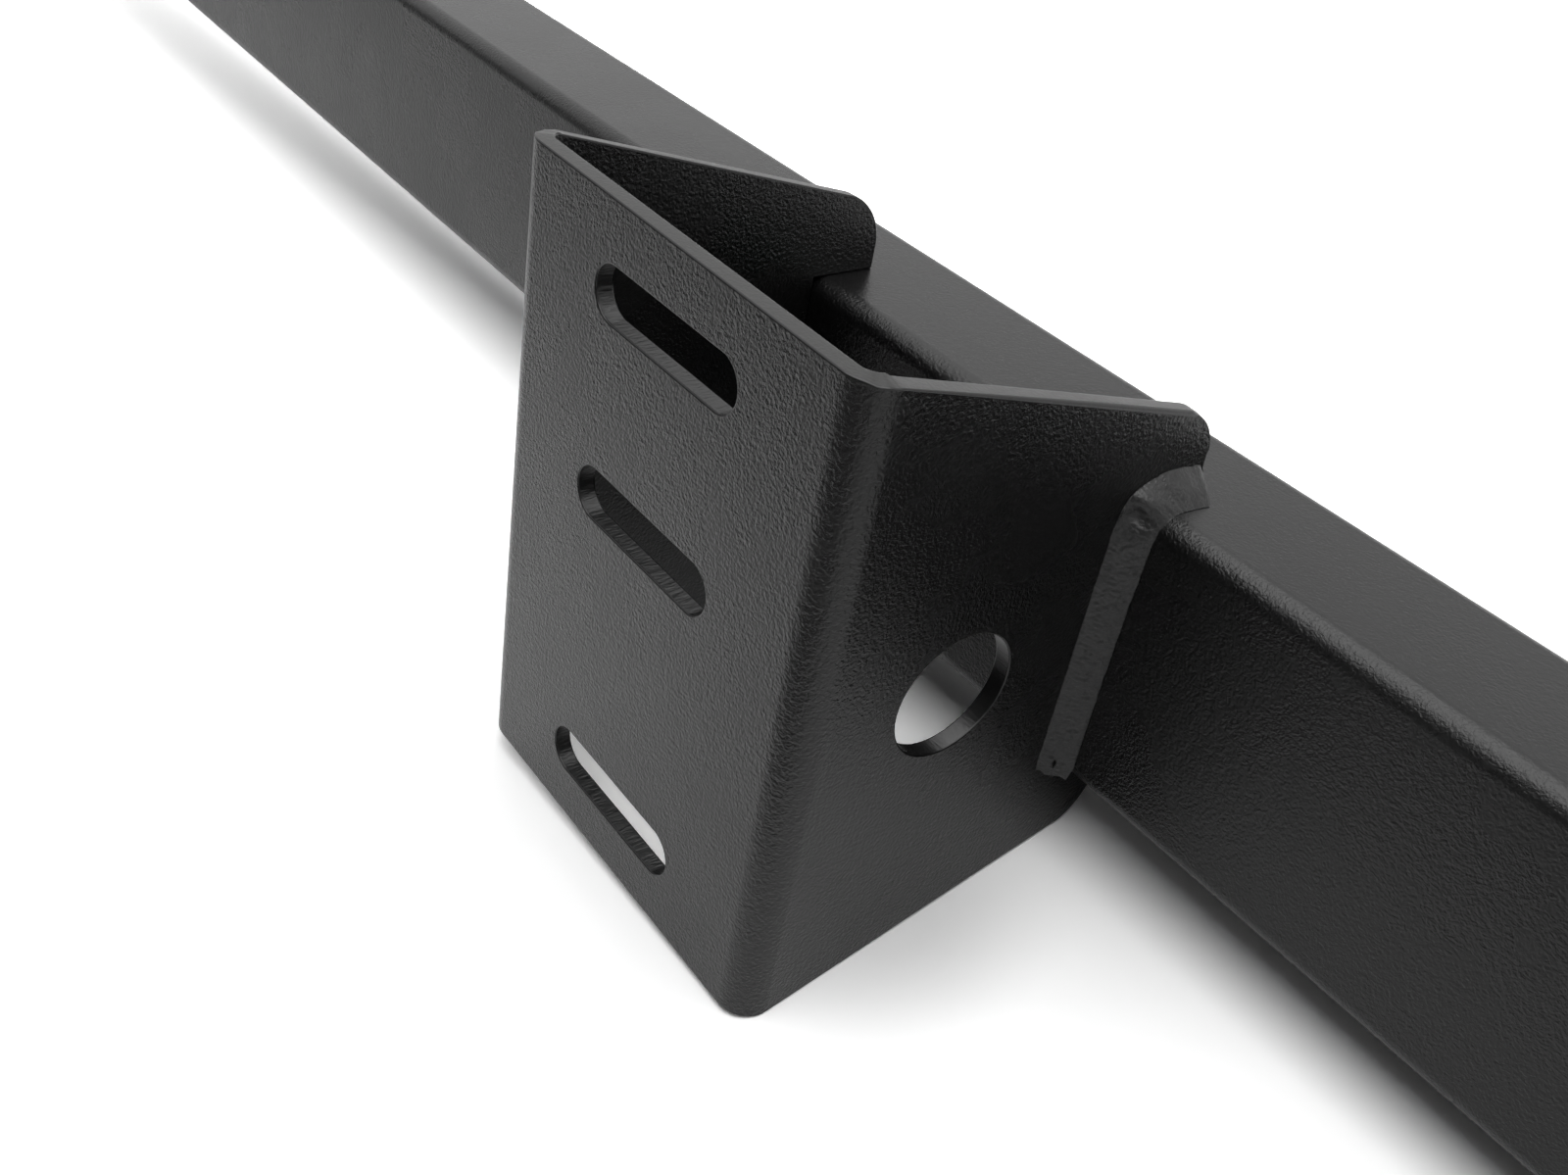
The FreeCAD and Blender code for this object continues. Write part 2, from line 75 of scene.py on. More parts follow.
SLOT_CUT_FROM = -5 * MM
SLOT_CUT_DEPTH = 15 * MM
BORE_RADIUS = 10.5 * MM
BORE_SETBACK = 28.5 * MM
BORE_SEGMENTS = 96
BORE_CUT_MARGIN = 10 * MM

# Brackets' edges: soft all round, and rolled further on the flanges' outer faces
SHARP_ANGLE = math.radians(35)
SOFT_EDGE = 0.3 * MM
SOFT_EDGE_LIMIT = SOFT_EDGE * 1.05
SOFT_EDGE_SEGMENTS = 3
ROLLED_EDGE = 0.8 * MM
ROLL_FULL_AT = 45 * MM
ROLL_OFF_SEAT = 3 * MM

# Unevenness of the top edge: it sinks towards the outer fold, less so at the flange's back, and
# the sheet is drawn down in the folds
TOP_SINK = 0.7 * MM
TOP_SINK_REACH = 10 * MM
TOP_SINK_LOST_AT_BACK = 0.55
FOLD_DRAW = 0.5 * MM
FOLD_DRAW_REACH = 2 * MM
FOLD_DRAWN_AT = math.radians(22)
FOLD_DRAWN_OVER = math.radians(24)
NEARLY_NONE = 0.01 * MM

# A face is square to an axis when its normal's part along that axis is larger than this
SQUARE = 0.9
EXACTLY_SQUARE = 0.99

# Places of the finishes in a bracket's list, and in its cutters' list
CUT_EDGE = 1
RIM = 2
BORE_WALL = 1

# Weld: where the bead's two borders and its root run, in mm, from its lower end to the arm's end.
# Each station has the border on the flange (y, z), the border on the tube (out from the flange,
# y, z) and the root in the corner between them (y, z).
WELD_STATIONS = (
    ((53.5, -24.9), (3.6, 57.0, -24.9), (57.0, -24.9)),
    ((53.1, -23.6), (4.3, 57.0, -23.2), (57.0, -23.4)),
    ((53.0, -8.0), (4.1, 57.0, -8.0), (57.0, -8.0)),
    ((52.9, 8.0), (4.1, 57.0, 8.0), (57.0, 8.0)),
    ((52.9, 21.0), (4.4, 57.0, 20.5), (57.0, 20.8)),
    ((53.5, 25.0), (4.6, 57.2, 22.6), (57.4, 23.4)),
    ((54.6, 27.6), (4.5, 58.3, 24.3), (58.4, 24.8)),
    ((57.4, 28.6), (4.5, 60.5, 25.0), (60.5, 25.0)),
    ((61.1, 29.6), (4.6, 63.0, 25.0), (63.0, 25.0)),
    ((65.5, 29.4), (4.9, 65.4, 25.0), (66.5, 25.0)),
    ((69.8, 28.6), (5.2, 67.3, 25.0), (69.8, 25.0)),
)
ROOT_INSIDE_FLANGE = 0.4
HIDDEN_ROOT_DEPTH = 0.2
BEAD_END = 63.1
BEAD_ALONG = 340
BEAD_AROUND = 60
BEAD_SKIN_SHARE = 0.84
BEAD_MERGE = 0.001 * MM
FLANGE_SEED_STEP = 17
SIDE_SEED_STEP = 50

# How the bead's borders stray: height in mm, waves per mm, and the place and seed of the noise
FLANGE_BORDER_WAVES = ((0.16, 0.45, 0, 7), (0.08, 1.6, 9, 3))
TUBE_BORDER_WAVES = ((0.16, 0.45, 5, 13), (0.08, 1.6, 2, 5))

# Bead's skin, in mm. Places across the bead run from 0 on the flange to 1 on the tube. Waves are
# counted on a mm along the bead and from border to border. The even run ends below the crater.
CRATER_AT = 49.3
RUN_END = CRATER_AT - 1
RUN_FADE = 0.8
CROWN_HEIGHT = 0.20
RIPPLE_HEIGHT = 0.025
RIPPLE_PITCH = 0.85
RIPPLE_BOW = 0.9
LUMP_HEIGHT = 0.14
LUMP_WAVES = (0.45, 2.5)
MOTTLE_HEIGHT = 0.15
MOTTLE_WAVES = (1.5, 6)
MOTTLE_SEED = 31
MOTTLE_LEFT_PAST_RUN = 0.3
CRATER_DEEPEST_AT = CRATER_AT + 0.1
CRATER_DEPTH = 1.2
CRATER_REACH_BELOW = 2.3
CRATER_REACH_PAST = 0.9
CRATER_ACROSS = 0.40
CRATER_HALF_WIDTH = 0.30
LIP_AT = CRATER_AT + 2.2
LIP_HEIGHT = 0.6
LIP_REACH = 1.6
LIP_ACROSS = 0.30
LIP_SLANT = 0.06
LIP_HALF_WIDTH = 0.38
SLIT_AT = 2.8
SLIT_DEPTH = 0.8
SLIT_REACH = 0.75
SLIT_ACROSS = 0.44
SLIT_SLANT = 0.012
SLIT_HALF_WIDTH = 0.035
END_ROLL_DEPTH = 0.45
END_ROLL_REACH = 0.25
START_REACH = 0.8
START_RAGGED = 0.6
START_WAVES = 5
START_TUBE_DROP = 0.6
START_TUBE_DROP_POWER = 6

# Grain of the coats
GRAIN_MIDDLE = 0.62
NOISE_SPAN = (0.3, 0.7)
COARSE_SCALE = 0.37
COARSE_SHARE = 0.25
PATCHES_PER_METRE = 60.0
PEBBLE_SHADE = (0.75, 1.25)
PATCH_SHADE = (0.92, 1.08)
COAT_SPECULAR = 0.36
BLACK = (0.0038, 0.0038, 0.0038, 1)

# Coats: pebbles of grain on a metre, the grain's depth, roughness and colour. A stretch under 1
# draws the grain out along that axis. Calm is an axis, the run along it over which the grain
# fades and the share of its depth that is left past that run.
COATS = {
    "bracket coat": {
        "pebbles": 1700.0,
        "depth": 0.235 * MM,
        "roughness": 0.27,
        "base": BLACK,
        "calm": ("Y", (1 * MM, 7 * MM), 0.7),
    },
    "tube coat": {
        "pebbles": 2100.0,
        "depth": 0.16 * MM,
        "roughness": 0.27,
        "base": BLACK,
        "calm": ("Z", (24.75 * MM, 24.97 * MM), 0.4),
    },
    "cut edge coat": {
        "pebbles": 1900.0,
        "depth": 0.05 * MM,
        "roughness": 0.36,
        "base": (0.013, 0.013, 0.0125, 1),
    },
    "rim coat": {"pebbles": 2600.0, "depth": 0.02 * MM, "roughness": 0.2, "base": BLACK},
    "slot wall coat": {
        "pebbles": 2000.0,
        "depth": 0.20 * MM,
        "roughness": 0.3,
        "base": (0.009, 0.009, 0.009, 1),
        "stretch": (1, 0.2, 1),
    },
    "bore wall coat": {
        "pebbles": 1500.0,
        "depth": 0.05 * MM,
        "roughness": 0.25,
        "base": (0.006, 0.006, 0.006, 1),
        "stretch": (0.2, 1, 1),
    },
    "weld coat": {
        "pebbles": 2000.0,
        "depth": 0.15 * MM,
        "roughness": 0.30,
        "base": (0.0125, 0.0125, 0.0125, 1),
    },
    "cap plastic": {
        "pebbles": 2600.0,
        "depth": 0.03 * MM,
        "roughness": 0.45,
        "base": (0.01, 0.01, 0.01, 1),
    },
}

# Camera, as in the photograph
CAMERA_PLACE = Vector((0.59834, -0.10675, 0.13211))
CAMERA_FORWARD = Vector((-0.60443, 0.55525, -0.57128))
CAMERA_UP = Vector((-0.53864, 0.24352, 0.80658))
CAMERA_LENS = 35.22
CAMERA_SENSOR = 36
CAMERA_NEAREST = 0.01

# Floor. Its shown white is what the camera sees; it passes on less light than that.
FLOOR_HALF_SIZE = 4
FLOOR_CONTACT = Vector((490 * MM, 3.6 * MM, -55 * MM))
FLOOR_TILT = math.radians(13)
FLOOR_LEAN = math.radians(-2.5)
FLOOR_WHITE = 0.80
FLOOR_SHOWN_CENTRE = (0.49, -0.15, -0.09)
FLOOR_SHOWN_REACH = (0.2, 0.6)
FLOOR_SHOWN_WHITES = (1.27, 2.8)
# Painted shade: the floor beside the right bracket's foot, in the corner between the bracket and
# the tube, is shown darker
FOOT_PAINTED_SHADE_PLACE = (0.489, 0.03, -0.05)
FOOT_PAINTED_SHADE_REACH = (0.004, 0.030)
FOOT_PAINTED_SHADE = 0.72
# Painted reflection: near the plate's foot the gloss sees more of the floor's shown white, so there
# the floor looks brighter in reflections than its light makes it
FLOOR_GLOSS_FOOT = (0.37, -0.02, -0.06)
FLOOR_GLOSS_REACH = (0.06, 0.19)
FLOOR_GLOSS_SHARES = (0.75, 0.18)
PLAIN_WHITE_REACH = (1.1, 1.9)
PLAIN_WHITE = (1, 1, 1, 1)

# Room, lamps (place, width, power) and glowing cards that only the gloss sees: painted reflections
ROOM_STRENGTH = 0.05
LAMPS = (
    ("wide lamp", (0.25, 0.05, 1.25), 2.4, 10.5),
    ("middle lamp", (0.55, -0.15, 1.15), 1.5, 17.5),
)
FILL_PLACE = Vector((1.3, -0.35, 0.75))
FILL_TARGET = Vector((0.55, 0, -0.05))
FILL_WIDTH = 0.8
FILL_POWER = 0.3
# Front card: a painted dark reflection of the room in front, glowing grey low down and white at its
# top
FRONT_CARD_Y = -0.36
FRONT_CARD_TOP = 0.30
FRONT_CARD_FADE_FROM = 0.16
FRONT_CARD_HALF_HEIGHT = 1
FRONT_CARD_WIDENED = 3
# Floor card: a painted shadow on the floor in front, seen only in reflections
FLOOR_CARD_PLACE = (0.03, -0.17)
FLOOR_CARD_RADII = (0.13, 0.10)
FLOOR_CARD_SEGMENTS = 48
CARD_GREY = 0.19


# Helpers for numbers and pieces


def clamp(value):
    """The value, held between 0 and 1."""
    return min(max(value, 0), 1)


def dome(*offsets):
    """Smooth rise to 1 where all the offsets are 0."""
    return math.exp(-sum(offset ** 2 for offset in offsets))


def uneven(height, *place):
    """Smooth noise of a given height."""
    return height * noise.noise(Vector(place))


def link_object(name, data):
    """New object in the scene."""
    made = bpy.data.objects.new(name, data)
    bpy.context.scene.collection.objects.link(made)
    return made


def mesh_from(mesh, name, materials):
    """Mesh data with the shape of a bmesh, which is freed."""
    data = bpy.data.meshes.new(name)
    mesh.to_mesh(data)
    mesh.free()
    for material in materials:
        data.materials.append(material)
    return data


def finish_piece(mesh, name, materials):
    """Turn a bmesh into a smooth-shaded piece."""
    bmesh.ops.recalc_face_normals(mesh, faces=mesh.faces[:])
    data = mesh_from(mesh, name, materials)
    for polygon in data.polygons:
        polygon.use_smooth = True
    return link_object(name, data)


def round_off(mesh, geometry, kind, offset, segments):
    """Round edges or corners of a bmesh."""
    bmesh.ops.bevel(
        mesh, geom=geometry, affect=kind, offset=offset, segments=segments, profile=0.5, material=-1
    )


def thicken(piece, thickness):
    """Give an open sheet its thickness, inwards from its faces."""
    sheet = piece.modifiers.new("sheet", "SOLIDIFY")
    sheet.thickness = thickness
    sheet.offset = -1
    sheet.use_even_offset = True
    return sheet


def keep_shape(piece):
    """Apply the piece's modifiers to its mesh."""
    depsgraph = bpy.context.evaluated_depsgraph_get()
    shaped = bpy.data.meshes.new_from_object(piece.evaluated_get(depsgraph), depsgraph=depsgraph)
    piece.modifiers.clear()
    piece.data = shaped


def soften_edges(piece):
    """Round the piece's sharp edges a little."""
    bevel = piece.modifiers.new("soft_edges", "BEVEL")
    bevel.width = SOFT_EDGE
    bevel.segments = SOFT_EDGE_SEGMENTS
    bevel.limit_method = "ANGLE"
    bevel.angle_limit = SHARP_ANGLE
    bevel.use_clamp_overlap = False
    bevel.material = RIM
    keep_shape(piece)


def level_normals(piece):
    """Weight the shading normals by face area."""
    weighted = piece.modifiers.new("level_normals", "WEIGHTED_NORMAL")
    weighted.mode = "FACE_AREA"
    weighted.weight = 100


# Helpers for nodes


def add_node(tree, kind, **settings):
    """Shader node with its settings and input values."""
    inputs = settings.pop("inputs", {})
    node = tree.nodes.new(kind)
    for key, value in settings.items():
        setattr(node, key, value)
    for socket, value in inputs.items():
        if isinstance(value, bpy.types.NodeSocket):
            tree.links.new(value, node.inputs[socket])
        else:
            node.inputs[socket].default_value = value
    return node


def calculate(tree, operation, *values):
    """Result of a math node."""
    node = add_node(
        tree, "ShaderNodeMath", operation=operation, inputs=dict(enumerate(values))
    )
    return node.outputs[0]


def map_range(tree, value, span, onto, curve="LINEAR"):
    """The value carried from one range over to another, and held at its ends."""
    node = add_node(
        tree,
        "ShaderNodeMapRange",
        interpolation_type=curve,
        inputs={
            "Value": value,
            "From Min": span[0],
            "From Max": span[1],
            "To Min": onto[0],
            "To Max": onto[1],
        },
    )
    return node.outputs["Result"]


def distance_from(tree, place, point):
    """Distance between a place and a fixed point."""
    node = add_node(
        tree, "ShaderNodeVectorMath", operation="DISTANCE", inputs={0: place, 1: point}
    )
    return node.outputs["Value"]


def noise_texture(tree, place, scale, detail, distortion=0.0):
    """Value of a noise texture."""
    node = add_node(
        tree,
        "ShaderNodeTexNoise",
        inputs={
            "Vector": place,
            "Scale": scale,
            "Detail": detail,
            "Roughness": 0.5,
            "Distortion": distortion,
        },
    )
    return node.outputs["Fac"]


def emptied_tree(owner):
    """Node tree of a new material or world, without its first nodes."""
    owner.use_nodes = True
    owner.node_tree.nodes.clear()
    return owner.node_tree


def new_group(name, inputs, outputs):
    """Node group with named sockets; returns the tree and its input and output nodes."""
    tree = bpy.data.node_groups.new(name, "ShaderNodeTree")
    for way, sockets in (("INPUT", inputs), ("OUTPUT", outputs)):
        for socket, kind in sockets.items():
            tree.interface.new_socket(name=socket, in_out=way, socket_type=f"NodeSocket{kind}")
    return tree, tree.nodes.new("NodeGroupInput"), tree.nodes.new("NodeGroupOutput")


# Materials


def make_coat_grain():
    """Fine grain of baked powder: rounded pebbles with soft hollows, and a slow change of tone."""
    tree, given, result = new_group(
        "coat grain",
        inputs={
            "Position": "Vector",
            "Pebbles Per Metre": "Float",
            "Base": "Color",
            "Roughness": "Float",
        },
        outputs={"Height": "Float", "Color": "Color", "Roughness": "Float"},
    )
    place = given.outputs["Position"]
    scale = given.outputs["Pebbles Per Metre"]
    pebbles = noise_texture(tree, place, scale, 3.0, distortion=0.4)
    coarse_scale = calculate(tree, "MULTIPLY", scale, COARSE_SCALE)
    waves = noise_texture(tree, place, coarse_scale, 1.0)
    height = calculate(tree, "MULTIPLY_ADD", waves, COARSE_SHARE, pebbles)
    patches = noise_texture(tree, place, PATCHES_PER_METRE, 3.0)
    shade = map_range(tree, pebbles, NOISE_SPAN, PEBBLE_SHADE)
    drift = map_range(tree, patches, NOISE_SPAN, PATCH_SHADE)
    tinted = add_node(
        tree,
        "ShaderNodeVectorMath",
        operation="SCALE",
        inputs={0: given.outputs["Base"], "Scale": calculate(tree, "MULTIPLY", shade, drift)},
    )
    rough = calculate(tree, "MULTIPLY", given.outputs["Roughness"], drift)
    tree.links.new(height, result.inputs["Height"])
    tree.links.new(tinted.outputs["Vector"], result.inputs["Color"])
    tree.links.new(rough, result.inputs["Roughness"])
    return tree


def coat_material(name, grain, pebbles, depth, roughness, base, stretch=(1, 1, 1), calm=None):
    """Coat with a fine grain, described as in COATS."""
    material = bpy.data.materials.new(name)
    tree = emptied_tree(material)
    place = add_node(tree, "ShaderNodeTexCoord").outputs["Object"]
    drawn = add_node(
        tree, "ShaderNodeVectorMath", operation="MULTIPLY", inputs={0: place, 1: stretch}
    )
    coat = add_node(
        tree,
        "ShaderNodeGroup",
        node_tree=grain,
        inputs={
            "Position": drawn.outputs["Vector"],
            "Pebbles Per Metre": pebbles,
            "Base": base,
            "Roughness": roughness,
        },
    )
    height = coat.outputs["Height"]
    if calm:
        axis, run, share = calm
        parts = add_node(tree, "ShaderNodeSeparateXYZ", inputs={0: place})
        left = map_range(tree, parts.outputs[axis], run, (1.0, share))
        level = calculate(tree, "SUBTRACT", height, GRAIN_MIDDLE)
        height = calculate(tree, "MULTIPLY", level, left)
    bump = add_node(
        tree, "ShaderNodeBump", inputs={"Strength": 1.0, "Distance": depth, "Height": height}
    )
    surface = add_node(
        tree,
        "ShaderNodeBsdfPrincipled",
        inputs={
            "Base Color": coat.outputs["Color"],
            "Roughness": coat.outputs["Roughness"],
            "Normal": bump.outputs["Normal"],
            "Specular IOR Level": COAT_SPECULAR,
        },
    )
    add_node(tree, "ShaderNodeOutputMaterial", inputs={"Surface": surface.outputs["BSDF"]})
    return material


# Tube


def build_tube(coat):
    """Rectangular tube with rounded corners, open at both ends."""
    low, high = (Vector(corner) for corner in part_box("crossbar_tube"))
    mesh = bmesh.new()
    placing = Matrix.Translation((low + high) / 2) @ Matrix.Diagonal((*(high - low), 1))
    bmesh.ops.create_cube(mesh, size=1, matrix=placing)
    long_edges = [
        edge for edge in mesh.edges if abs(edge.verts[0].co.x - edge.verts[1].co.x) > MM
    ]
    round_off(mesh, long_edges, "EDGES", TUBE_CORNER_RADIUS, TUBE_CORNER_SEGMENTS)
    ends = [face for face in mesh.faces if abs(face.normal.x) > SQUARE]
    bmesh.ops.delete(mesh, geom=ends, context="FACES_ONLY")
    tube = finish_piece(mesh, "tube", [coat])
    thicken(tube, TUBE_WALL)
    keep_shape(tube)
    level_normals(tube)
    return tube


# Brackets


def slot_cutter(mesh, centre_x, height):
    """Slot with round ends that goes through the front plate."""
    placing = Matrix.Translation((centre_x, SLOT_CUT_FROM, height))
    placing = placing @ Matrix.Rotation(math.radians(-90), 4, "X")
    made = bmesh.ops.create_circle(
        mesh, cap_ends=True, segments=SLOT_SEGMENTS, radius=SLOT_WIDTH / 2, matrix=placing
    )
    half_run = (SLOT_LENGTH - SLOT_WIDTH) / 2
    for vertex in made["verts"]:
        vertex.co.x += math.copysign(half_run, vertex.co.x - centre_x)
    face = made["verts"][0].link_faces[0]
    pulled = bmesh.ops.extrude_face_region(mesh, geom=[face], use_keep_orig=True)
    moved = [item for item in pulled["geom"] if isinstance(item, bmesh.types.BMVert)]
    bmesh.ops.translate(mesh, verts=moved, vec=(0, SLOT_CUT_DEPTH, 0))


def bore_cutter(mesh, centre_x):
    """Round bar that goes through both flanges."""
    placing = Matrix.Translation((centre_x, BORE_SETBACK, 0))
    placing = placing @ Matrix.Rotation(math.radians(90), 4, "Y")
    made = bmesh.ops.create_cone(
        mesh,
        cap_ends=True,
        segments=BORE_SEGMENTS,
        radius1=BORE_RADIUS,
        radius2=BORE_RADIUS,
        depth=BRACKET_WIDTH + 2 * BORE_CUT_MARGIN,
        matrix=placing,
    )
    for vertex in made["verts"]:
        for face in vertex.link_faces:
            face.material_index = BORE_WALL


def cut_tapers(mesh):
    """Cut the sheet to the slopes of its top and bottom edges."""
    for direction, taper in EDGE_TAPERS:
        bmesh.ops.bisect_plane(
            mesh,
            geom=mesh.verts[:] + mesh.edges[:] + mesh.faces[:],
            plane_co=(0, TAPER_START, direction * PLATE_HEIGHT / 2),
            plane_no=(0, math.sin(taper), direction * math.cos(taper)),
            clear_outer=True,
        )
    at_kinks = [
        vertex for vertex in mesh.verts if abs(vertex.co.y - TAPER_START) < KINK_REACH
    ]
    bmesh.ops.remove_doubles(mesh, verts=at_kinks, dist=KINK_MERGE)


def round_arm_corners(mesh):
    """Round the flanges' back corners."""
    for direction, taper in EDGE_TAPERS:
        corners = [
            vertex
            for vertex in mesh.verts
            if vertex.co.y > ARM_END - ARM_END_MARGIN and direction * vertex.co.z > 0
        ]
        offset = ARM_CORNER_RADIUS * math.tan((math.pi / 2 - taper) / 2)
        round_off(mesh, corners, "VERTICES", offset, BEND_SEGMENTS)


def open_notch(mesh):
    """Divide the flanges along the tube's faces and where the roll is full, and open the notch."""
    for place, way in (
        ((0, TUBE_FRONT, 0), (0, 1, 0)),
        ((0, 0, TUBE_TOP), (0, 0, 1)),
        ((0, 0, -TUBE_TOP), (0, 0, 1)),
        ((0, ROLL_FULL_AT, 0), (0, 1, 0)),
    ):
        flange_parts = [face for face in mesh.faces if abs(face.normal.x) > EXACTLY_SQUARE]
        around = {item for face in flange_parts for item in (*face.verts, *face.edges)}
        bmesh.ops.bisect_plane(
            mesh, geom=[*around, *flange_parts], plane_co=place, plane_no=way
        )
    middles = {face: face.calc_center_median() for face in mesh.faces}
    notch = [
        face
        for face, middle in middles.items()
        if middle.y > TUBE_FRONT and abs(middle.z) < TUBE_TOP
    ]
    bmesh.ops.delete(mesh, geom=notch, context="FACES")


def flip_outward(bracket, centre_x):
    """Make the open sheet's faces look away from the channel's inside."""
    mesh = bmesh.new()
    mesh.from_mesh(bracket.data)
    inside = Vector((centre_x, BORE_SETBACK, 0))
    front = min(mesh.faces, key=lambda face: face.calc_center_median().y)
    if front.normal.dot(front.calc_center_median() - inside) < 0:
        bmesh.ops.reverse_faces(mesh, faces=mesh.faces[:])
    mesh.to_mesh(bracket.data)
    mesh.free()


def flange_inset(place):
    """How far a point lies inside the flange's free outline, and the way inwards from there."""
    way_up = math.copysign(1, place.z)
    taper = TOP_TAPER if place.z > 0 else BOTTOM_TAPER
    height = abs(place.z)
    below_taper = (PLATE_HEIGHT / 2 - height) * math.cos(taper)
    below_taper -= (place.y - TAPER_START) * math.sin(taper)
    centre_y = ARM_END - ARM_CORNER_RADIUS
    drop = ARM_CORNER_RADIUS + (centre_y - TAPER_START) * math.sin(taper)
    centre_z = PLATE_HEIGHT / 2 - drop / math.cos(taper)
    out_y, out_z = place.y - centre_y, height - centre_z
    if out_z > 0 and out_y * math.cos(taper) > out_z * math.sin(taper):
        apart = math.hypot(out_y, out_z)
        return ARM_CORNER_RADIUS - apart, Vector((0, -out_y / apart, -way_up * out_z / apart))
    if below_taper < ARM_END - place.y:
        return below_taper, Vector((0, -math.sin(taper), -way_up * math.cos(taper)))
    return ARM_END - place.y, Vector((0, -1, 0))


def roll_flange_edges(bracket, centre_x):
    """Widen the soft edges of the flanges' outer faces; the roll grows from the fold on."""
    for vertex in bracket.data.vertices:
        from_face = BRACKET_WIDTH / 2 - abs(vertex.co.x - centre_x)
        inset, inwards = flange_inset(vertex.co)
        if max(from_face, inset) > SOFT_EDGE_LIMIT:
            continue
        past_fold = (vertex.co.y - FOLD_RADIUS) / (ROLL_FULL_AT - FOLD_RADIUS)
        off_the_seat = (abs(vertex.co.z) - TUBE_TOP) / ROLL_OFF_SEAT
        growth = clamp(min(past_fold, off_the_seat)) * (ROLLED_EDGE / SOFT_EDGE - 1)
        vertex.co.x -= math.copysign(from_face * growth, vertex.co.x - centre_x)
        vertex.co += inwards * inset * growth


def shape_top_edge(bracket, side, centre_x):
    """Let the top edge run down a little towards the outer fold and up again along the flange.

    In the folds, where the sheet is stretched, its outer side lies lower than its inner side.
    """
    for vertex in bracket.data.vertices:
        outward = side * (vertex.co.x - centre_x) / (BRACKET_WIDTH / 2 - PLATE_THICKNESS)
        along_flange = 1 - TOP_SINK_LOST_AT_BACK * min(vertex.co.y / ARM_END, 1)
        slope = max(vertex.co.y - TAPER_START, 0) * math.tan(TOP_TAPER)
        near_edge = clamp(1 - (PLATE_HEIGHT / 2 - slope - vertex.co.z) / TOP_SINK_REACH)
        vertex.co.z -= TOP_SINK * clamp(outward) * along_flange * near_edge
        aside = abs(vertex.co.x - centre_x) - (BRACKET_WIDTH / 2 - FOLD_RADIUS)
        forward = FOLD_RADIUS - vertex.co.y
        if aside > 0 and forward > -FOLD_DRAW_REACH:
            turned = math.atan2(max(forward, NEARLY_NONE), aside)
            from_inside = math.hypot(aside, max(forward, 0)) - (FOLD_RADIUS - PLATE_THICKNESS)
            stretched = dome(((turned - FOLD_DRAWN_AT) / FOLD_DRAWN_OVER) ** 2)
            vertex.co.z -= FOLD_DRAW * stretched * near_edge * from_inside / PLATE_THICKNESS


def build_bracket(name, side, finishes):
    """Folded plate bracket: slotted front, two tapered flanges with a bore and a notch."""
    centre_x = side * BRACKET_CENTRE
    coat, cut_edge, rim, slot_wall, bore_wall = finishes
    mesh = bmesh.new()
    placing = Matrix.Translation((centre_x, ARM_END / 2, 0)) @ Matrix.Diagonal(
        (BRACKET_WIDTH, ARM_END, PLATE_HEIGHT, 1)
    )
    bmesh.ops.create_cube(mesh, size=1, matrix=placing)
    open_sides = [
        face for face in mesh.faces if abs(face.normal.z) > SQUARE or face.normal.y > SQUARE
    ]
    bmesh.ops.delete(mesh, geom=open_sides, context="FACES")
    folds = [
        edge
        for edge in mesh.edges
        if len(edge.link_faces) == 2 and abs(edge.verts[0].co.z - edge.verts[1].co.z) > MM
    ]
    round_off(mesh, folds, "EDGES", FOLD_RADIUS, BEND_SEGMENTS)
    cut_tapers(mesh)
    round_arm_corners(mesh)
    open_notch(mesh)
    bracket = finish_piece(mesh, name, [coat, cut_edge, rim])
    flip_outward(bracket, centre_x)
    sheet = thicken(bracket, PLATE_THICKNESS)
    sheet.material_offset_rim = CUT_EDGE
    cutters = bmesh.new()
    for height in SLOT_HEIGHTS:
        slot_cutter(cutters, centre_x, height)
    bore_cutter(cutters, centre_x)
    tool = finish_piece(cutters, f"{name}_cutters", [slot_wall, bore_wall])
    opening = bracket.modifiers.new("openings", "BOOLEAN")
    opening.operation = "DIFFERENCE"
    opening.object = tool
    opening.solver = "EXACT"
    opening.material_mode = "TRANSFER"
    keep_shape(bracket)
    bpy.data.objects.remove(tool)
    soften_edges(bracket)
    roll_flange_edges(bracket, centre_x)
    shape_top_edge(bracket, side, centre_x)
    level_normals(bracket)
    return bracket


# Welds


def station_at(distance, marks):
    """Borders and root of the bead at a distance along it, by straight runs between stations."""
    distance = min(max(distance, marks[0]), marks[-1])
    index = max(i for i in range(len(marks) - 1) if marks[i] <= distance)
    share = (distance - marks[index]) / (marks[index + 1] - marks[index])
    here, there = WELD_STATIONS[index], WELD_STATIONS[index + 1]
    flange = Vector((0, *here[0])).lerp(Vector((0, *there[0])), share)
    tube = Vector(here[1]).lerp(Vector(there[1]), share)
    root = Vector((-ROOT_INSIDE_FLANGE, *here[2])).lerp(
        Vector((-ROOT_INSIDE_FLANGE, *there[2])), share
    )
    return flange, tube, root


def smooth_station(distance, marks):
    """Station with its turns rounded over 2 mm of run."""
    steps = [station_at(distance + offset, marks) for offset in (-1, -0.5, 0, 0.5, 1)]
    return [sum((step[part] for step in steps), Vector()) / len(steps) for part in range(3)]


def border_stray(distance, seed, waves):
    """How far a border of the bead strays from its even run, mm."""
    return sum(
        uneven(height, distance * count, place, seed + own_seed)
        for height, count, place, own_seed in waves
    )


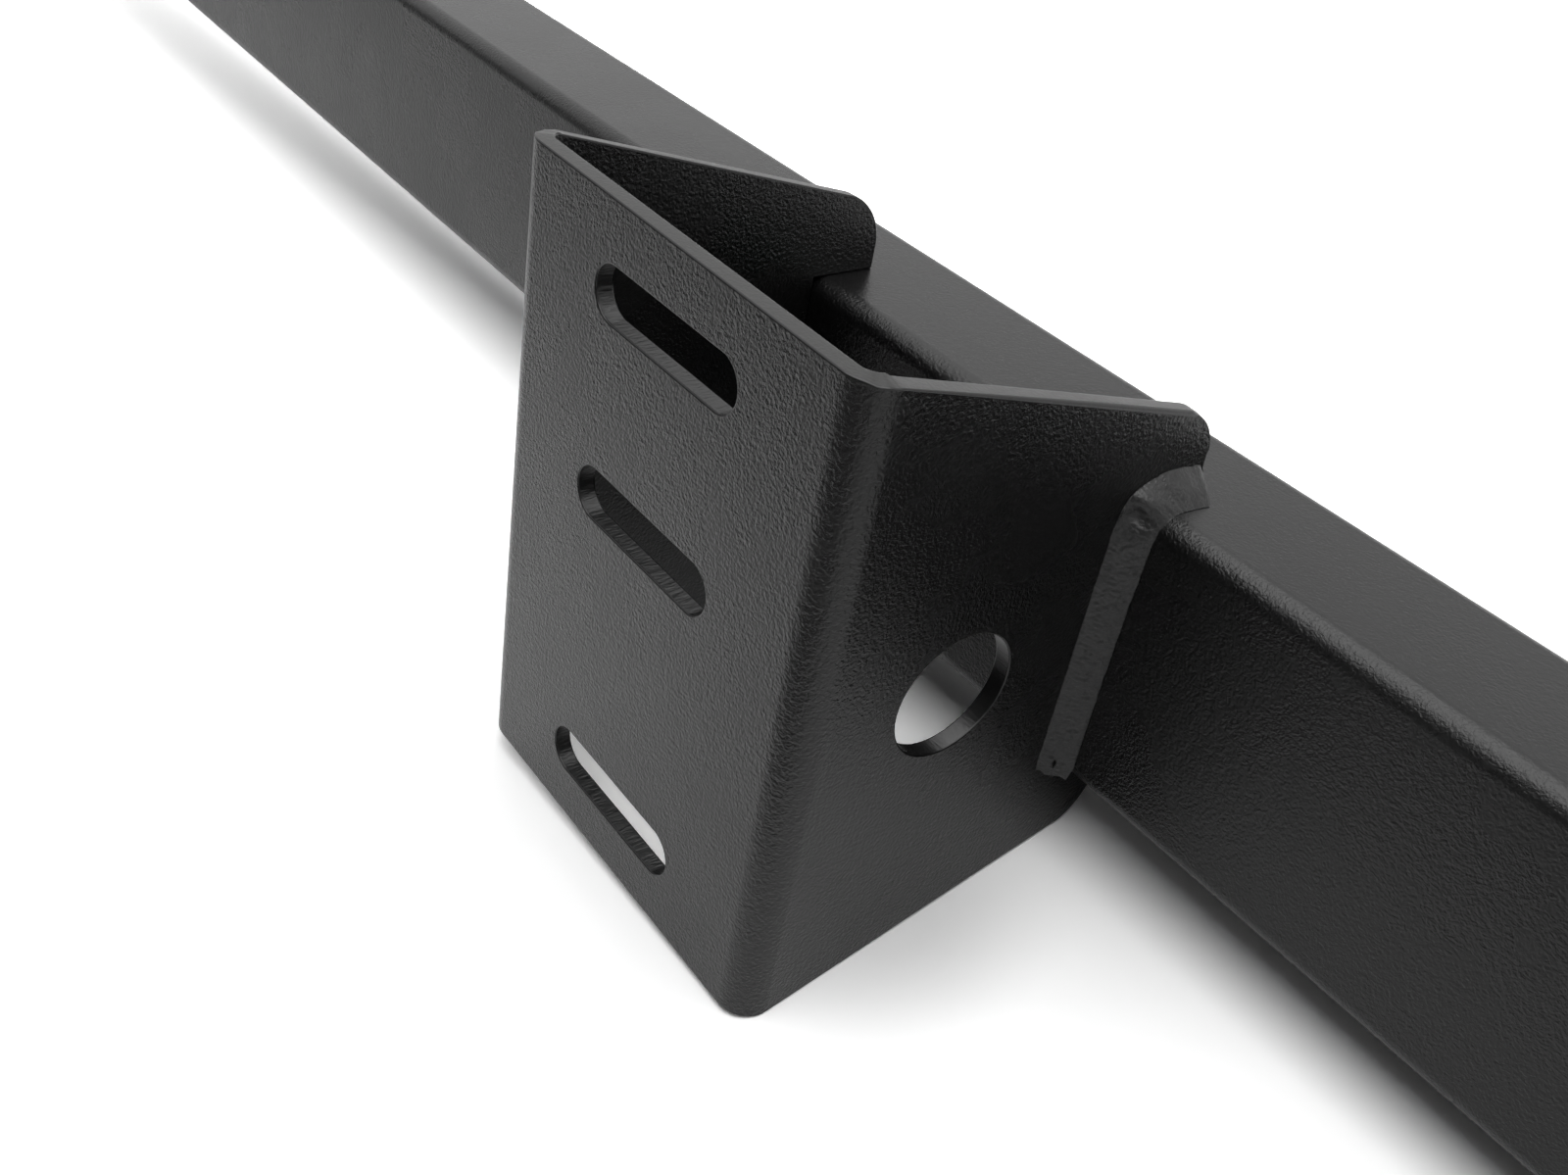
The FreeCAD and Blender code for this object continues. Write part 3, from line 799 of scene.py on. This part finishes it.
def bead_lift(distance, across, seed):
    """Height of the bead's skin over the flat between its borders, mm."""
    arch = math.sin(math.pi * across)
    on_run = 1 / (1 + math.exp((distance - RUN_END) / RUN_FADE))
    phase = (distance + RIPPLE_BOW * arch) / RIPPLE_PITCH
    ripple = RIPPLE_HEIGHT * on_run * math.sin(2 * math.pi * phase)
    lumps = uneven(LUMP_HEIGHT, distance * LUMP_WAVES[0], across * LUMP_WAVES[1], seed)
    mottle = uneven(
        MOTTLE_HEIGHT, distance * MOTTLE_WAVES[0], across * MOTTLE_WAVES[1], seed + MOTTLE_SEED
    )
    mottle *= MOTTLE_LEFT_PAST_RUN + (1 - MOTTLE_LEFT_PAST_RUN) * on_run
    below_pit = CRATER_DEEPEST_AT - distance
    pit = dome(
        below_pit / (CRATER_REACH_BELOW if below_pit > 0 else CRATER_REACH_PAST),
        (across - CRATER_ACROSS) / CRATER_HALF_WIDTH,
    )
    past_lip = distance - LIP_AT
    lip = dome(
        past_lip / LIP_REACH, (across - LIP_ACROSS - LIP_SLANT * past_lip) / LIP_HALF_WIDTH
    )
    past_slit = distance - SLIT_AT
    beside_slit = across - SLIT_ACROSS - SLIT_SLANT * past_slit
    slit = dome((past_slit / SLIT_REACH) ** 2 + (beside_slit / SLIT_HALF_WIDTH) ** 2)
    end_roll = min(math.exp((distance - BEAD_END) / END_ROLL_REACH), 1)
    hollows = CRATER_DEPTH * pit + SLIT_DEPTH * slit + END_ROLL_DEPTH * end_roll
    skin = arch ** 0.5 * (ripple + lumps + mottle)
    return CROWN_HEIGHT * arch + skin - hollows + LIP_HEIGHT * lip


def build_weld(name, flange_x, outward, seed, coat):
    """Bead in the corner between a flange and the tube, up the front and back over the top."""
    middles = [(Vector((0, *flange)) + Vector(tube)) / 2 for flange, tube, root in WELD_STATIONS]
    marks = [0.0]
    for here, there in zip(middles, middles[1:]):
        marks.append(marks[-1] + (there - here).length)
    mesh = bmesh.new()
    bmesh.ops.create_grid(mesh, x_segments=BEAD_ALONG, y_segments=BEAD_AROUND, size=0.5)
    stations = {}
    for vertex in mesh.verts:
        distance = round((vertex.co.x + 0.5) * marks[-1], 4)
        around = vertex.co.y + 0.5
        if distance not in stations:
            stations[distance] = smooth_station(distance, marks)
        flange, tube, root = stations[distance]
        flange_stray = border_stray(distance, seed, FLANGE_BORDER_WAVES)
        tube_stray = border_stray(distance, seed, TUBE_BORDER_WAVES)
        flange = flange + (flange - root).normalized() * flange_stray
        tube = tube + (tube - root).normalized() * tube_stray
        away = ((flange + tube) / 2 - root).normalized()
        if around <= BEAD_SKIN_SHARE:
            across = around / BEAD_SKIN_SHARE
            place = flange.lerp(tube, across) + away * bead_lift(distance, across, seed)
            ragged = uneven(START_RAGGED, across * START_WAVES, seed, 1)
            ragged -= START_TUBE_DROP * across ** START_TUBE_DROP_POWER
            place.z += math.exp(-distance / START_REACH) * ragged
        else:
            back = 2 * (around - BEAD_SKIN_SHARE) / (1 - BEAD_SKIN_SHARE)
            hidden_root = root - away * HIDDEN_ROOT_DEPTH
            if back < 1:
                place = tube.lerp(hidden_root, back)
            else:
                place = hidden_root.lerp(flange, back - 1)
        vertex.co = Vector((flange_x + outward * place.x * MM, place.y * MM, place.z * MM))
    bmesh.ops.remove_doubles(mesh, verts=mesh.verts[:], dist=BEAD_MERGE)
    bmesh.ops.holes_fill(mesh, edges=mesh.edges[:], sides=0)
    return finish_piece(mesh, name, [coat])


# Camera, floor and light


def set_camera():
    """Camera at the photograph's place, with its turn and lens."""
    data = bpy.data.cameras.new("camera")
    data.sensor_fit = "HORIZONTAL"
    data.sensor_width = CAMERA_SENSOR
    data.lens = CAMERA_LENS
    data.clip_start = CAMERA_NEAREST
    camera = link_object("camera", data)
    back = -CAMERA_FORWARD.normalized()
    right = CAMERA_UP.cross(back).normalized()
    up = back.cross(right)
    turn = Matrix((right, up, back)).transposed().to_4x4()
    camera.matrix_world = Matrix.Translation(CAMERA_PLACE) @ turn
    bpy.context.scene.camera = camera


def shown_rays(tree, gloss_share=1.0):
    """1 for rays from the camera, and the share for rays off gloss and through glass."""
    rays = add_node(tree, "ShaderNodeLightPath").outputs
    mirrored = calculate(tree, "MAXIMUM", rays["Is Glossy Ray"], rays["Is Transmission Ray"])
    shared = calculate(tree, "MULTIPLY", mirrored, gloss_share)
    return calculate(tree, "MAXIMUM", rays["Is Camera Ray"], shared)


def floor_frame():
    """Where the floor lies: under the right bracket's foot, rising backwards and to the right."""
    lean = Matrix.Rotation(FLOOR_LEAN, 4, "Y")
    return Matrix.Translation(FLOOR_CONTACT) @ lean @ Matrix.Rotation(FLOOR_TILT, 4, "X")


def floor_material():
    """Matt white with a painted shade beside the right bracket's foot, clear from below, that turns
    into plain white far out.
    """
    material = bpy.data.materials.new("floor white")
    tree = emptied_tree(material)
    place = add_node(tree, "ShaderNodeTexCoord").outputs["Object"]
    from_centre = distance_from(tree, place, FLOOR_SHOWN_CENTRE)
    shown = map_range(tree, from_centre, FLOOR_SHOWN_REACH, FLOOR_SHOWN_WHITES)
    # Painted shade beside the foot: darkest at its place, gone past its reach
    from_painted_shade = distance_from(tree, place, FOOT_PAINTED_SHADE_PLACE)
    shade = map_range(tree, from_painted_shade, FOOT_PAINTED_SHADE_REACH, (FOOT_PAINTED_SHADE, 1.0), "SMOOTHSTEP")
    # Painted reflection: the floor is shown brighter to the gloss near the foot
    from_foot = distance_from(tree, place, FLOOR_GLOSS_FOOT)
    gloss_share = map_range(tree, from_foot, FLOOR_GLOSS_REACH, FLOOR_GLOSS_SHARES)
    white = add_node(
        tree,
        "ShaderNodeMix",
        data_type="RGBA",
        inputs={
            "Factor": shown_rays(tree, gloss_share),
            6: (FLOOR_WHITE, FLOOR_WHITE, FLOOR_WHITE, 1),
            7: calculate(tree, "MULTIPLY", shown, shade),
        },
    )
    matt = add_node(tree, "ShaderNodeBsdfDiffuse", inputs={"Color": white.outputs[2]})
    plain = add_node(tree, "ShaderNodeEmission", inputs={"Color": PLAIN_WHITE, "Strength": 1.0})
    from_origin = distance_from(tree, place, (0, 0, 0))
    far = map_range(tree, from_origin, PLAIN_WHITE_REACH, (0.0, 1.0), "SMOOTHSTEP")
    faded = add_node(
        tree, "ShaderNodeMixShader", inputs={0: far, 1: matt.outputs[0], 2: plain.outputs[0]}
    )
    side = add_node(tree, "ShaderNodeNewGeometry")
    clear = add_node(tree, "ShaderNodeBsdfTransparent")
    seen = add_node(
        tree,
        "ShaderNodeMixShader",
        inputs={0: side.outputs["Backfacing"], 1: faded.outputs[0], 2: clear.outputs[0]},
    )
    add_node(tree, "ShaderNodeOutputMaterial", inputs={"Surface": seen.outputs[0]})
    return material


def lay_floor():
    """White floor that the right bracket's foot rests on."""
    mesh = bmesh.new()
    bmesh.ops.create_grid(mesh, x_segments=1, y_segments=1, size=FLOOR_HALF_SIZE)
    bmesh.ops.transform(mesh, matrix=floor_frame(), verts=mesh.verts[:])
    floor = link_object("floor", mesh_from(mesh, "floor", [floor_material()]))


def hang_lamp(name, place, width, power):
    """Square lamp that shines straight down."""
    data = bpy.data.lights.new(name, "AREA")
    data.shape = "SQUARE"
    data.size = width
    data.energy = power
    lamp = link_object(name, data)
    lamp.location = place
    return lamp


def light_room():
    """White room, soft lamps overhead and a weak one from the right that the gloss doesn't see."""
    world = bpy.data.worlds.new("white room")
    tree = emptied_tree(world)
    strength = map_range(tree, shown_rays(tree), (0.0, 1.0), (ROOM_STRENGTH, 1.0))
    background = add_node(
        tree, "ShaderNodeBackground", inputs={"Color": PLAIN_WHITE, "Strength": strength}
    )
    add_node(tree, "ShaderNodeOutputWorld", inputs={"Surface": background.outputs[0]})
    bpy.context.scene.world = world
    for lamp in LAMPS:
        hang_lamp(*lamp)
    fill = hang_lamp("fill lamp", FILL_PLACE, FILL_WIDTH, FILL_POWER)
    fill.rotation_euler = (FILL_TARGET - FILL_PLACE).to_track_quat("-Z", "Y").to_euler()
    fill.visible_glossy = False


def set_reflection_cards():
    """Glowing cards seen only in the gloss: a painted dark reflection in front that fades up to
    white, and a painted shadow lying on the floor.
    """
    grey = bpy.data.materials.new("painted reflection card")
    tree = emptied_tree(grey)
    place = add_node(tree, "ShaderNodeTexCoord").outputs["Object"]
    height = add_node(tree, "ShaderNodeSeparateXYZ", inputs={0: place}).outputs["Z"]
    # Painted reflection: the cards glow grey low down and white at the front card's top
    strength = map_range(
        tree, height, (FRONT_CARD_FADE_FROM, FRONT_CARD_TOP), (CARD_GREY, 1.0)
    )
    glow = add_node(
        tree, "ShaderNodeEmission", inputs={"Color": PLAIN_WHITE, "Strength": strength}
    )
    add_node(tree, "ShaderNodeOutputMaterial", inputs={"Surface": glow.outputs[0]})
    middle = (0, FRONT_CARD_Y, FRONT_CARD_TOP - FRONT_CARD_HALF_HEIGHT)
    upright = Matrix.Translation(middle) @ Matrix.Rotation(math.radians(90), 4, "X")
    front = bmesh.new()
    bmesh.ops.create_grid(
        front, x_segments=1, y_segments=1, size=FRONT_CARD_HALF_HEIGHT, matrix=upright
    )
    bmesh.ops.scale(front, vec=(FRONT_CARD_WIDENED, 1, 1), verts=front.verts[:])
    lying = (
        floor_frame()
        @ Matrix.Translation((*FLOOR_CARD_PLACE, MM))
        @ Matrix.Diagonal((*FLOOR_CARD_RADII, 1, 1))
    )
    flat = bmesh.new()
    bmesh.ops.create_circle(
        flat, cap_ends=True, segments=FLOOR_CARD_SEGMENTS, radius=1, matrix=lying
    )
    for name, mesh in (("front_painted_reflection_card", front), ("floor_painted_shadow_card", flat)):
        card = link_object(name, mesh_from(mesh, name, [grey]))
        card.visible_camera = False
        card.visible_diffuse = False
        card.visible_transmission = False
        card.visible_shadow = False


# Build

grain = make_coat_grain()
coats = {name: coat_material(name, grain, **look) for name, look in COATS.items()}
bracket_finishes = [
    coats[f"{part} coat"] for part in ("bracket", "cut edge", "rim", "slot wall", "bore wall")
]

tube = build_tube(coats["tube coat"])
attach(tube, "root")
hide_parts("crossbar_tube")

for side_name, side in (("right", 1), ("left", -1)):
    bracket = build_bracket(f"{side_name}_folded_bracket", side, bracket_finishes)
    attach(bracket, "root")
    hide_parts(f"{side_name}_bracket")
    for number, (flange_name, outward) in enumerate((("outer", side), ("inner", -side))):
        flange_x = side * BRACKET_CENTRE + outward * BRACKET_WIDTH / 2
        seed = FLANGE_SEED_STEP * number + SIDE_SEED_STEP * side
        weld = build_weld(
            f"{side_name}_{flange_name}_weld", flange_x, outward, seed, coats["weld coat"]
        )
        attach(weld, "root")
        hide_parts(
            f"{side_name}_{flange_name}_front_weld", f"{side_name}_{flange_name}_top_weld"
        )

for cap_name in ("left_end_cap", "right_end_cap"):
    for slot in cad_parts[cap_name].material_slots:
        slot.material = coats["cap plastic"]

set_camera()
lay_floor()
light_room()
set_reflection_cards()
bpy.context.scene.view_settings.view_transform = "Standard"
